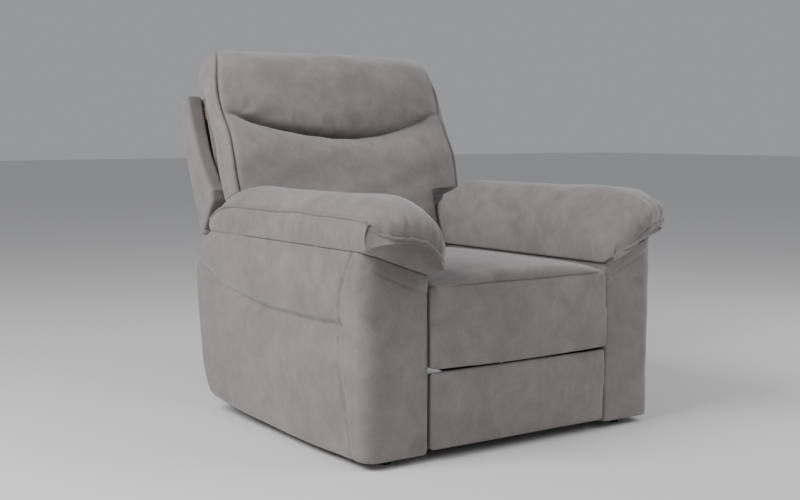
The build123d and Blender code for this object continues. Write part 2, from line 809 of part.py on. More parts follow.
top_half = lumbar_half - 30
taper_start = 600
with BuildPart() as headrest_cushion:
    with BuildSketch(back_side(-lumbar_half)):
        with BuildLine():
            shape = FilletPolyline((cushion_rear, crease), (cushion_front + 16, crease),
                                   (cushion_front + 16, 640), (-40, back_top), (cushion_rear - 20, back_top),
                                   (cushion_rear, cover_top), radius=[40, 60, 40, 16])
            Line(shape @ 1, shape @ 0)
        make_face()
    extrude(amount=2 * lumbar_half)
    with BuildSketch(back_across(crease)):
        add(cushion_plan(cushion_rear))
    extrude(amount=back_top - crease, mode=Mode.INTERSECT)
    front_view = Plane(origin=back_face.from_local_coords((-200, 0, 0)), x_dir=(1, 0, 0),
                       z_dir=back_face.x_dir)
    with BuildSketch(front_view):
        with BuildLine():
            Polyline((-lumbar_half, 5 - crease), (-lumbar_half, -taper_start), (-top_half, -back_top),
                     (top_half, -back_top), (lumbar_half, -taper_start),
                     (lumbar_half, 5 - crease), close=True)
        make_face()
    extrude(amount=400, mode=Mode.INTERSECT)
save(headrest_cushion, "headrest_cushion")

with BuildPart() as back_outer_cover:
    with BuildSketch(back_side(-narrow_half)):
        with Locations((cover_front, post_bottom)):
            Rectangle(cover_back - cover_front, wing_bottom + 20 - post_bottom,
                      align=(Align.MIN, Align.MIN))
    extrude(amount=2 * narrow_half)
    with BuildSketch(back_side(-wing_half)):
        with BuildLine():
            shape = FilletPolyline((cover_front, wing_bottom), (cover_front, cover_top - 8),
                                   (cover_front + 8, cover_top - 8), (cover_back, cover_shoulder),
                                   (cover_back, wing_bottom), radius=[1, 8, 20])
            Line(shape @ 1, shape @ 0)
        make_face()
    extrude(amount=2 * wing_half)
    for sign in (1, -1):
        with BuildSketch(back_layer(sign, wing_half - wing_thickness, wing_thickness)):
            with BuildLine():
                shape = FilletPolyline((cover_front + 2, wing_bottom), (wing_low_front + 11, wing_knee - 22),
                                       (wing_low_front, wing_knee), (wing_high_front, crease),
                                       (wing_high_front, cover_top), (cover_front + 2, cover_top - 4),
                                       radius=[6, 8, 40, 14])
                Line(shape @ 1, shape @ 0)
            make_face()
        extrude(amount=wing_thickness)
save(back_outer_cover, "back_outer_cover")
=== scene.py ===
"""A recliner armchair: its upholstery, materials and studio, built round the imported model."""
import json
from math import pi, radians

import bpy
import numpy as np
from bpy.props import FloatProperty, FloatVectorProperty, PointerProperty
from bpy.types import Operator, Panel, PropertyGroup
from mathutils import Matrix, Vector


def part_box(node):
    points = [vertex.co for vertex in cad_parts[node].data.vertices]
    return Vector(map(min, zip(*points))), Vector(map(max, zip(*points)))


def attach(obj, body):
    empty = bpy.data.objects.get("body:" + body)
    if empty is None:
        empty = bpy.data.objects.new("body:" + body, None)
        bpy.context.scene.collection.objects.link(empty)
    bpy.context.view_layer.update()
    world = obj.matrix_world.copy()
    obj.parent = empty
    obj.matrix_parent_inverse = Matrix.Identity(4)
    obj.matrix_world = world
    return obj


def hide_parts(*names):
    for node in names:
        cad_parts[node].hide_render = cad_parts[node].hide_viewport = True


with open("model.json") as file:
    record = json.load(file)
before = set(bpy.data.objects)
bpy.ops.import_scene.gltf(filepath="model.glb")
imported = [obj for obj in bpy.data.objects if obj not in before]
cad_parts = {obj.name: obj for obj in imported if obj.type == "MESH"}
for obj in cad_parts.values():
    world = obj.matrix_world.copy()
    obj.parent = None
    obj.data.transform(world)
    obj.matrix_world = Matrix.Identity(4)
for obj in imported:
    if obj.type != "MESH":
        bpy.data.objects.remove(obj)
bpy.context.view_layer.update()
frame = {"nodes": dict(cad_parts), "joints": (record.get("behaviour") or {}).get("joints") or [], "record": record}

bl_info = {
    "name": "Recliner armchair",
    "version": (1, 0, 0),
    "blender": (4, 5, 0),
    "location": "View3D > Sidebar > Recliner",
    "description": "Builds the upholstery of a recliner armchair round its frame",
    "category": "Object",
}

# ---- places read from the frame ----
arm_low, arm_high = (np.array(corner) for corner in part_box("arm_outer_panel_left"))
inner_low = np.array(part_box("arm_inner_panel_left")[0])
pad_low, pad_high = (np.array(corner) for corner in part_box("arm_pad_left"))
seat_low, seat_high = (np.array(corner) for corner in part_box("seat_cushion"))
border_low, border_high = (np.array(corner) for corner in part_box("seat_border"))
rest_low, rest_high = (np.array(corner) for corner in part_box("footrest_pad"))
valance_low, valance_high = (np.array(corner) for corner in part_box("rear_valance"))

front = arm_low[1]                       # the arms' front faces
arm_outer = arm_high[0]
arm_inner = inner_low[0]
recline = next(joint for joint in frame["joints"] if joint["name"] == "back_recline")
pivot = np.array(recline["pos_m"])
rake = radians(20)                       # lean of the back at rest
along_back = np.array([0, np.sin(rake), np.cos(rake)])
behind_back = np.array([0, np.cos(rake), -np.sin(rake)])


# ------------------------------------------------------------------ small shape tools
def ease(value):
    """0 below 0, 1 above 1, smooth between."""
    value = np.clip(value, 0, 1)
    return value * value * (3 - 2 * value)


def bump(value, middle, width):
    """A soft hump, 1 at its middle."""
    return np.exp(-((value - middle) / width) ** 2)


def through(points, value):
    """A smooth curve through (x, y) points, read at value."""
    xs, ys = np.array(points, float).T
    slope = np.gradient(ys, xs)
    place = np.clip(np.searchsorted(xs, value) - 1, 0, len(xs) - 2)
    step = xs[place + 1] - xs[place]
    part = np.clip((value - xs[place]) / step, 0, 1)
    return ((1 + 2 * part) * (1 - part) ** 2 * ys[place] + part * (1 - part) ** 2 * step * slope[place]
            + part ** 2 * (3 - 2 * part) * ys[place + 1] + part ** 2 * (part - 1) * step * slope[place + 1])


def waver(value, seed, count=5):
    """Sum of a few sines with fixed random phases: an uneven, repeatable ripple from -1 to 1."""
    random = np.random.default_rng(seed)
    total = 0
    for turn in range(1, count + 1):
        total = total + np.sin(value * turn * random.uniform(0.7, 1.3) + random.uniform(0, 2 * pi)) / turn
    return total / 2


def block(across, depth, height):
    """The surface of a cube from -1 to 1 in even squares: points and faces that point outwards."""
    counts = (across, depth, height)
    index, points, faces = {}, [], []

    def corner(cell):
        if cell not in index:
            index[cell] = len(points)
            points.append([2 * cell[axis] / counts[axis] - 1 for axis in range(3)])
        return index[cell]

    for axis in range(3):
        first, second = (axis + 1) % 3, (axis + 2) % 3
        for end in (0, counts[axis]):
            for i in range(counts[first]):
                for j in range(counts[second]):
                    ring = []
                    for di, dj in ((0, 0), (1, 0), (1, 1), (0, 1)):
                        cell = [0, 0, 0]
                        cell[axis], cell[first], cell[second] = end, i + di, j + dj
                        ring.append(corner(tuple(cell)))
                    faces.append(ring if end else ring[::-1])
    return np.array(points), faces


def rounded(points, half, radius):
    """Rounds a cube's edges: half sizes and a radius in the same units, per point if need be."""
    half = np.array(half, float)
    place = points * half
    radius = np.broadcast_to(np.asarray(radius, float), place[:, :1].shape if np.ndim(radius) == 2 else ())
    core = np.clip(place, -(half - radius), half - radius)
    rest = place - core
    length = np.linalg.norm(rest, axis=1, keepdims=True)
    return core + rest / np.maximum(length, 1e-9) * np.minimum(length, radius) / half * half


def make(name, points, faces, material, smooth=True):
    """A mesh object in the scene with one material and its normals outwards."""
    mesh = bpy.data.meshes.new(name)
    mesh.from_pydata([tuple(point) for point in points], [], faces)
    mesh.validate()
    mesh.polygons.foreach_set("use_smooth", [smooth] * len(mesh.polygons))
    mesh.materials.append(material)
    piece = bpy.data.objects.new(name, mesh)
    bpy.context.scene.collection.objects.link(piece)
    return piece


def mirrored(points, faces):
    """The same shape on the other side of the chair, its faces turned back outwards."""
    return points * np.array([-1, 1, 1]), [face[::-1] for face in faces]


def tube(name, path, radius, material, sides=10):
    """A closed round cord along a path of points, such as piping along a seam."""
    path = np.array(path, float)
    run = np.gradient(path, axis=0)
    run /= np.linalg.norm(run, axis=1, keepdims=True)
    side = np.cross(run, (0.3, 0.5, 0.81))
    side /= np.linalg.norm(side, axis=1, keepdims=True)
    up = np.cross(run, side)
    points, faces = [], []
    for place, across, over in zip(path, side, up):
        for turn in np.arange(sides) * 2 * pi / sides:
            points.append(place + radius * (np.cos(turn) * across + np.sin(turn) * over))
    for ring in range(len(path) - 1):
        for turn in range(sides):
            a, b = ring * sides + turn, ring * sides + (turn + 1) % sides
            faces.append([a, a + sides, b + sides, b])
    faces.append(list(range(sides)))
    faces.append([len(points) - sides + turn for turn in range(sides)][::-1])
    return make(name, points, faces, material)


# ------------------------------------------------------------------ materials
def group(name, inputs, outputs):
    """A new shader node group with named sockets; returns it with its input and output nodes."""
    tree = bpy.data.node_groups.new(name, "ShaderNodeTree")
    for label, kind, default in inputs:
        socket = tree.interface.new_socket(label, in_out="INPUT", socket_type=kind)
        socket.default_value = default
    for label, kind in outputs:
        tree.interface.new_socket(label, in_out="OUTPUT", socket_type=kind)
    return tree, tree.nodes.new("NodeGroupInput"), tree.nodes.new("NodeGroupOutput")


def node(tree, kind, values=None, **settings):
    """Adds a node, with its settings and the default values of its inputs."""
    new = tree.nodes.new(kind)
    for label, value in settings.items():
        setattr(new, label, value)
    for label, value in (values or {}).items():
        new.inputs[label].default_value = value
    return new


def nap_group():
    """Brushed microfibre: mottled nap in soft patches, a fine weave, and its height."""
    tree, entry, out = group("brushed_nap", [
        ("Dark", "NodeSocketColor", (0.1, 0.1, 0.1, 1)), ("Light", "NodeSocketColor", (0.3, 0.3, 0.3, 1)),
        ("Patch", "NodeSocketFloat", 18.0), ("Weave", "NodeSocketFloat", 900.0)],
        [("Color", "NodeSocketColor"), ("Roughness", "NodeSocketFloat"), ("Height", "NodeSocketFloat")])
    place = node(tree, "ShaderNodeTexCoord")
    patch = node(tree, "ShaderNodeTexNoise", {"Detail": 6.0, "Roughness": 0.6, "Distortion": 0.6})
    cloud = node(tree, "ShaderNodeTexNoise", {"Scale": 5.0, "Detail": 3.0})
    grain = node(tree, "ShaderNodeTexNoise", {"Scale": 420.0, "Detail": 2.0, "Roughness": 0.7})
    weave = node(tree, "ShaderNodeTexVoronoi", {"Randomness": 0.55})
    link = tree.links.new
    for texture in (patch, cloud, grain, weave):
        link(place.outputs["Object"], texture.inputs["Vector"])
    link(entry.outputs["Patch"], patch.inputs["Scale"])
    link(entry.outputs["Weave"], weave.inputs["Scale"])
    both = node(tree, "ShaderNodeMix", {"Factor": 0.4}, data_type="FLOAT")
    link(patch.outputs["Fac"], both.inputs[2])
    link(cloud.outputs["Fac"], both.inputs[3])
    spread = node(tree, "ShaderNodeMapRange", {"From Min": 0.34, "From Max": 0.66})
    link(both.outputs[0], spread.inputs["Value"])
    shade = node(tree, "ShaderNodeMix", data_type="RGBA")
    link(spread.outputs["Result"], shade.inputs["Factor"])
    link(entry.outputs["Dark"], shade.inputs["A"])
    link(entry.outputs["Light"], shade.inputs["B"])
    speck = node(tree, "ShaderNodeMapRange", {
        "From Min": 0.3, "From Max": 0.7, "To Min": 0.86, "To Max": 1.12})
    link(grain.outputs["Fac"], speck.inputs["Value"])
    final = node(tree, "ShaderNodeVectorMath", operation="MULTIPLY")
    link(shade.outputs["Result"], final.inputs[0])
    link(speck.outputs["Result"], final.inputs[1])
    link(final.outputs["Vector"], out.inputs["Color"])
    rough = node(tree, "ShaderNodeMapRange", {"To Min": 0.78, "To Max": 0.95})
    link(patch.outputs["Fac"], rough.inputs["Value"])
    link(rough.outputs["Result"], out.inputs["Roughness"])
    high = node(tree, "ShaderNodeMath", operation="MULTIPLY_ADD")
    high.inputs[1].default_value = 0.6
    link(weave.outputs["Distance"], high.inputs[0])
    link(grain.outputs["Fac"], high.inputs[2])
    link(high.outputs["Value"], out.inputs["Height"])
    return tree


def wear_group():
    """Uneven colour for hard finishes: broad clouds and fine scuffs, with a rougher height."""
    tree, entry, out = group("uneven_finish", [
        ("Dark", "NodeSocketColor", (0.1, 0.1, 0.1, 1)), ("Light", "NodeSocketColor", (0.3, 0.3, 0.3, 1)),
        ("Scale", "NodeSocketFloat", 40.0), ("Stretch", "NodeSocketVector", (1, 1, 1)),
        ("Rough Low", "NodeSocketFloat", 0.3), ("Rough High", "NodeSocketFloat", 0.5)],
        [("Color", "NodeSocketColor"), ("Roughness", "NodeSocketFloat"), ("Height", "NodeSocketFloat")])
    place = node(tree, "ShaderNodeTexCoord")
    link = tree.links.new
    pull = node(tree, "ShaderNodeVectorMath", operation="MULTIPLY")
    link(place.outputs["Object"], pull.inputs[0])
    link(entry.outputs["Stretch"], pull.inputs[1])
    noise = node(tree, "ShaderNodeTexNoise", {"Detail": 6.0, "Roughness": 0.65, "Distortion": 0.4})
    link(pull.outputs["Vector"], noise.inputs["Vector"])
    link(entry.outputs["Scale"], noise.inputs["Scale"])
    shade = node(tree, "ShaderNodeMix", data_type="RGBA")
    link(noise.outputs["Fac"], shade.inputs["Factor"])
    link(entry.outputs["Dark"], shade.inputs["A"])
    link(entry.outputs["Light"], shade.inputs["B"])
    link(shade.outputs["Result"], out.inputs["Color"])
    rough = node(tree, "ShaderNodeMapRange")
    link(noise.outputs["Fac"], rough.inputs["Value"])
    link(entry.outputs["Rough Low"], rough.inputs["To Min"])
    link(entry.outputs["Rough High"], rough.inputs["To Max"])
    link(rough.outputs["Result"], out.inputs["Roughness"])
    link(noise.outputs["Fac"], out.inputs["Height"])
    return tree


groups = {}


def surface(name, effect, values, metallic=0.0, sheen=0.0, bumpiness=0.2, distance=0.0005):
    """A material whose colour, roughness and bump come from one of the shared groups."""
    if effect not in groups:
        groups[effect] = {"nap": nap_group, "wear": wear_group}[effect]()
    material = bpy.data.materials.new(name)
    material.use_nodes = True
    tree = material.node_tree
    shader = tree.nodes["Principled BSDF"]
    shader.inputs["Metallic"].default_value = metallic
    shader.inputs["Sheen Weight"].default_value = sheen
    shader.inputs["Sheen Roughness"].default_value = 0.45
    shader.inputs["Specular IOR Level"].default_value = 0.25 if sheen else 0.5
    part = node(tree, "ShaderNodeGroup", node_tree=groups[effect])
    for label, value in values.items():
        part.inputs[label].default_value = value
    relief = node(tree, "ShaderNodeBump", {"Strength": bumpiness, "Distance": distance})
    tree.links.new(part.outputs["Color"], shader.inputs["Base Color"])
    tree.links.new(part.outputs["Roughness"], shader.inputs["Roughness"])
    tree.links.new(part.outputs["Height"], relief.inputs["Height"])
    tree.links.new(relief.outputs["Normal"], shader.inputs["Normal"])
    return material


def shade(colour, factor):
    """A colour made lighter or darker, with alpha."""
    return (*[channel * factor for channel in colour], 1)


def suede(name, colour, contrast=0.19):
    """The chair's brushed cover cloth in one tone."""
    return surface(name, "nap", {"Dark": shade(colour, 1 - contrast), "Light": shade(colour, 1 + contrast)},
                   sheen=0.35, bumpiness=0.35, distance=0.0006)


# ------------------------------------------------------------------ settings
class ReclinerCloth(PropertyGroup):
    """The cover cloth, its piping and its gathers."""
    colour: FloatVectorProperty(name="Cloth", description="Colour of the brushed cover cloth",
                                default=(0.205, 0.186, 0.181), size=3, subtype="COLOR")
    piping: FloatProperty(name="Piping radius", description="Radius of the piping on the arm pads",
                          default=0.0038, unit="LENGTH")
    gather: FloatProperty(name="Gather depth", description="Depth of the gathers at the pads' front seams",
                          default=0.0026, unit="LENGTH")


class ReclinerShape(PropertyGroup):
    """How full and how creased the upholstery is."""
    channel: FloatProperty(name="Channel depth", description="Depth of the sewn channel on the arms",
                           default=0.013, unit="LENGTH")
    crease: FloatProperty(name="Crease depth", description="Depth of the crease under the headrest",
                          default=0.042, unit="LENGTH")
    crown: FloatProperty(name="Back crown", description="How far the back cushions swell in the middle",
                         default=0.040, unit="LENGTH")


def finished(piece, body, *nodes, fill=None, slot="upholstery"):
    """Parents a finished piece to its body's empty and hides the frame parts it covers."""
    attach(piece, body)
    if nodes:
        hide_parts(*nodes)


# ------------------------------------------------------------------ arms
channel_line = [(0.09, 0.334), (0.294, 0.330), (0.528, 0.340), (0.718, 0.371), (0.874, 0.427)]
side_seam_line = [(0.02, 0.060), (0.159, 0.091), (0.336, 0.108), (0.433, 0.093), (0.514, 0.054)]
arm_rear_line = [(0.02, 0.776), (0.05, 0.812), (0.109, 0.853), (0.193, 0.869), (0.308, 0.885),
                 (0.417, 0.893), (0.455, 0.878), (0.50, 0.822), (0.53, 0.765)]
arm_bottom_rise = [(0.0, 0.020), (0.36, 0.021), (0.70, 0.037), (0.90, 0.062)]
arm_top_inner, arm_top_outer = 0.449, 0.514
arm_half_run = 0.44                      # half the arm's length while its corners are rounded
arm_guess = 0.87                         # first guess of its length, set right by its rear line


def under_pad(across):
    """Height of the arm's top at a distance from the chair's middle."""
    return arm_top_inner + (arm_top_outer - arm_top_inner) * (across - arm_inner) / (arm_outer - arm_inner)


def arm_points(cells, channel):
    """The arm cover's points: a box with a wide outer front corner, a channel and a seam."""
    width = (arm_outer - arm_inner) / 2
    outwards = cells[:, :1] > 0
    forwards = cells[:, 1:2] < 0
    radius = np.where(outwards & forwards, 0.040, np.where(forwards, 0.010, np.where(outwards, 0.026, 0.012)))
    half = np.array([width, arm_half_run])
    plan = cells[:, :2] * half
    core = np.clip(plan, -(half - radius), half - radius)
    rest = plan - core
    length = np.maximum(np.linalg.norm(rest, axis=1, keepdims=True), 1e-9)
    reach = np.minimum(np.abs(rest).max(axis=1, keepdims=True), radius)
    plan = core + rest / length * reach
    across = (arm_inner + arm_outer) / 2 + plan[:, 0]
    part = (plan[:, 1] + arm_half_run) / (2 * arm_half_run)
    tall = (cells[:, 2] + 1) / 2
    depth = part * arm_guess
    for _ in range(4):
        low = through(arm_bottom_rise, depth)
        high = under_pad(across) + 0.012 * ease((depth - 0.55) / 0.2)
        height = low + tall * (high - low)
        depth = part * through(arm_rear_line, height)
    edge = 1 - np.clip(np.minimum(height - low, 0.012) / 0.012, 0, 1)
    across = across - np.sign(cells[:, 0]) * 0.006 * edge ** 2 * (np.abs(cells[:, 0]) > 0.8)
    side = ease((across - arm_inner - 0.12) / 0.04)
    line = through(channel_line, depth)
    fade = ease((depth - 0.085) / 0.03) * (1 - 0.5 * ease((depth - 0.5) / 0.4))
    groove = channel * fade * bump(height, line, 0.010)
    puff = 0.0065 * (bump(height, line + 0.075, 0.055) + bump(height, line - 0.09, 0.07)) * fade
    seam = through(side_seam_line, height)
    stitch_line = 0.0035 * bump(depth, seam, 0.0045)
    pull = 0.0022 * waver(height * 40, 3) * bump(depth, seam + 0.03, 0.03)
    soft = 0.002 * waver(depth * 9 + height * 6, 5) + 0.0015 * waver(height * 14 - depth * 5, 6)
    across = across + side * (puff - groove - stitch_line + pull + soft)
    face = ease((0.03 - depth) / 0.03)
    cap = 0.003 * bump(height, under_pad(across) - 0.045 + 0.012 * (across - arm_inner) / 0.18, 0.004)
    depth = depth + face * (cap - 0.002 * waver(across * 30, 8) * bump(height, 0.45, 0.05))
    sag = 0.003 * waver(height * 12, 9) * face
    return np.stack([across, front + depth + 0.5 * sag, height], axis=1)


class RECLINER_OT_arms(Operator):
    """Builds the sewn covers of the two arms, with their channel and side seams"""
    bl_idname = "recliner.arms"
    bl_label = "Arm covers"

    def execute(self, context):
        shape, cloth = context.scene.recliner_shape, context.scene.recliner_cloth
        cells, faces = block(36, 200, 120)
        points = arm_points(cells, shape.channel)
        suede_side = suede("suede_arm", cloth.colour)
        for hand in ("left", "right"):
            places, sides = (points, faces) if hand == "left" else mirrored(points, faces)
            cover = make(f"arm_cover_{hand}", places, sides, suede_side)
            finished(cover, "base", f"arm_outer_panel_{hand}", f"arm_inner_panel_{hand}",
                     f"arm_edge_band_{hand}")
        return {"FINISHED"}


# ------------------------------------------------------------------ arm pads
# From the pad's inner edge (0) to its outer edge (1): its top, its front seam and how far it reaches.
pad_top_line = [(0, 0.540), (0.05, 0.578), (0.13, 0.606), (0.30, 0.633), (0.56, 0.641), (0.80, 0.634),
                (0.93, 0.616), (1, 0.594)]
pad_seam_line = [(0, 0.474), (0.12, 0.493), (0.34, 0.533), (0.56, 0.550), (0.82, 0.556), (1, 0.580)]
pad_tip_line = [(0, -0.040), (0.10, -0.070), (0.28, -0.086), (0.6, -0.078), (0.85, -0.052), (1, -0.012)]
pad_rear = 0.776
nose_start = 0.075
tail_start, tail_height = 0.60, 0.548


def pad_points(cells, gather):
    """An arm pad's points: a crowned top that rolls over the front to a piped seam."""
    inner, outer = pad_low[0] - 0.001, pad_high[0] + 0.003
    share = (cells[:, 0] + 1) / 2
    tip, seam = through(pad_tip_line, share), through(pad_seam_line, share)
    depth = tip + (pad_rear - tip) * ((cells[:, 1] + 1) / 2) ** 1.7
    nose = np.clip((nose_start - depth) / (nose_start - tip), 0, 1)
    drop = (1 - nose ** 2.3) ** (1 / 2.3)
    full = through(pad_top_line, share)
    tail = np.clip((depth - tail_start) / (pad_rear - tail_start), 0, 1) ** 3
    top = seam + (full - seam) * drop - tail * (full - tail_height)
    across = inner + (outer - inner) * share
    lift = ease((0.004 - depth) / 0.085)
    low = under_pad(across) + 0.001
    low = low + (top - 0.012 - low) * lift
    rise = (cells[:, 2] + 1) / 2
    height = low + (top - low) * rise
    # the outer band bulges and the inner cheek rounds over
    belly = 4 * rise * (1 - rise) * (1 - lift)
    outer_face, inner_face = ease((share - 0.93) / 0.07), ease((0.07 - share) / 0.07)
    across = across + outer_face * belly * 0.007 - inner_face * belly * 0.004
    # the nose swells over its seam, with gathers square to the seam and puckers along the band
    swell = nose * ease((nose - 0.45) / 0.55) * np.sin(pi * drop ** 1.2) * rise
    gathers = (np.sin(share * 2 * pi * 7.5 + 1.4 * waver(share * 9, 21))
               * (0.55 + 0.45 * waver(share * 31, 20)))
    near = bump(nose, 0.93, 0.28) * rise
    depth = depth - 0.016 * swell - gather * gathers * near * 0.8
    height = height + gather * gathers * near * 0.7
    across = across + outer_face * belly * 0.0024 * waver(depth * 48, 22)
    creases = 0.0030 * waver(depth * 34 + share * 6, 23) * bump(share, 0.08, 0.22)
    broad = 0.0032 * waver(depth * 11 - share * 4, 24)
    pinch = 0.006 * bump(share, 0.88, 0.07) * bump(depth, -0.020, 0.025)
    height = height + (creases + broad - pinch) * rise
    return np.stack([across, front + depth, height], axis=1)


class RECLINER_OT_pads(Operator):
    """Builds the two arm pads with their piping and gathered noses"""
    bl_idname = "recliner.pads"
    bl_label = "Arm pads"

    def execute(self, context):
        cloth = context.scene.recliner_cloth
        cells, faces = block(64, 200, 14)
        points = pad_points(cells, cloth.gather)
        suede_pad = suede("suede_pad", cloth.colour)
        trim = suede("suede_piping", tuple(0.92 * channel for channel in cloth.colour))
        top = np.isclose(cells[:, 2], 1)
        nose = points[top & np.isclose(cells[:, 1], -1)]
        outer = points[top & np.isclose(cells[:, 0], 1)]
        nose = nose[np.argsort(nose[:, 0])][4:]
        outer = outer[np.argsort(outer[:, 1])]
        seam = np.concatenate([nose, outer[1:]]) + np.array([0.0012, -0.001, -0.001])
        seam = seam[::2]
        for hand in ("left", "right"):
            side = 1 if hand == "left" else -1
            places, sides = (points, faces) if hand == "left" else mirrored(points, faces)
            pad = make(f"arm_pad_cover_{hand}", places, sides, suede_pad)
            smoothing = pad.modifiers.new("even", "SMOOTH")
            smoothing.factor, smoothing.iterations = 0.5, 3
            finished(pad, "base", f"arm_pad_{hand}", fill=0.8)
            piping = tube(f"pad_piping_{hand}", seam * np.array([side, 1, 1]), cloth.piping, trim)
            finished(piping, "base")
        return {"FINISHED"}


# ------------------------------------------------------------------ seat and footrest
def seat_points(cells):
    """The seat cushion: crowned, with a rounded nose over the border."""
    half = (seat_high - seat_low) / 2 + np.array([0.002, 0, 0])
    middle = (seat_high + seat_low) / 2
    place = rounded(cells, half, 0.022)
    across, depth, height = (place + middle).T
    side = np.clip(np.abs(across) / half[0], 0, 1)
    tall = (place[:, 2] / half[2] + 1) / 2
    crown = 0.034 * side ** 2.4 + 0.006 * bump(depth, seat_high[1], 0.15)
    height = height - tall * crown
    nose = bump(depth, seat_low[1], 0.05)
    height = height - tall * 0.010 * nose
    depth = depth + ease((0.428 - height) / 0.012) * 0.016 * (place[:, 1] < 0)
    height = height + 0.0018 * waver(across * 16 + depth * 5, 31) * tall
    height = height - 0.004 * tall * bump(depth, front + 0.55, 0.10) * bump(across, 0, 0.18)
    return np.stack([across, depth, height], axis=1)


def border_points(cells):
    """The padded front border under the seat: it bulges forward and its hem dips in the middle."""
    low, high = border_low.copy(), border_high.copy()
    high[2], low[2] = 0.4295, border_low[2] - 0.005
    high[1] = low[1] + 0.045
    half, middle = (high - low) / 2, (high + low) / 2
    place = rounded(cells, half, np.where(cells[:, 2:3] > 0, 0.016, 0.007))
    across, depth, height = (place + middle).T
    ahead = ease(-place[:, 1] / half[1] * 0.5 + 0.5)
    tall = (place[:, 2] / half[2] + 1) / 2
    side = np.abs(across) / half[0]
    depth = depth - ahead * (0.015 * np.sin(pi * tall) ** 0.8 * (1 - side ** 4) - 0.002)
    height = height - (1 - tall) * 0.005 * (1 - side ** 2)
    depth = depth + ahead * 0.0015 * waver(across * 22 + height * 8, 33)
    return np.stack([across, depth, height], axis=1)


def footrest_points(cells):
    """The footrest pad: a padded panel with faint upright folds."""
    low, high = rest_low.copy(), rest_high + np.array([0, 0, 0.0135])
    half, middle = (high - low) / 2, (high + low) / 2
    place = rounded(cells, half, np.where(cells[:, 2:3] > 0, 0.008, 0.014))
    across, depth, height = (place + middle).T
    ahead = (1 - place[:, 1] / half[1]) / 2
    tall = (place[:, 2] / half[2] + 1) / 2
    side = np.abs(across) / half[0]
    height = height - ease((tall - 0.5) * 2) * (1 - ahead) ** 1.6 * 0.040
    swell = 0.006 * (1 - side ** 6) * np.sin(pi * np.clip(tall, 0, 1))
    fold = 0.0016 * waver(across * 42, 35) * np.sin(pi * tall) + 0.0012 * waver(across * 18 + height * 14, 36)
    depth = depth - ahead * (swell - 0.003 + fold)
    return np.stack([across, depth, height], axis=1)


class RECLINER_OT_seat(Operator):
    """Builds the seat cushion, its front border and the footrest pad"""
    bl_idname = "recliner.seat"
    bl_label = "Seat and footrest"

    def execute(self, context):
        cloth = context.scene.recliner_cloth
        suede_seat = suede("suede_seat", cloth.colour)
        cells, faces = block(120, 140, 20)
        cushion = make("seat_cushion_cover", seat_points(cells), faces, suede_seat)
        finished(cushion, "seat", "seat_cushion", fill=0.8)
        cells, faces = block(140, 14, 60)
        border = make("seat_border_cover", border_points(cells), faces, suede_seat)
        finished(border, "seat", "seat_border", fill=0.7)
        cells, faces = block(150, 24, 60)
        rest = make("footrest_cover", footrest_points(cells), faces, suede_seat)
        finished(rest, "footrest", "footrest_pad", fill=0.7)
        return {"FINISHED"}


# ------------------------------------------------------------------ back
back_narrow, back_wide = 0.2765, 0.392
back_bottom, back_step = 0.128, 0.288
back_crease_middle = 0.464
headrest_top = 0.752
headrest_roll = 0.075                    # height over which its top rounds over


def back_point(across, behind, up):
    """Points of the leaning back, from distances across, behind its pivot line and up it."""
    return (np.outer(across, (1, 0, 0)) + np.outer(behind, behind_back) + np.outer(up, along_back)
            + np.array([0, pivot[1], pivot[2]]))


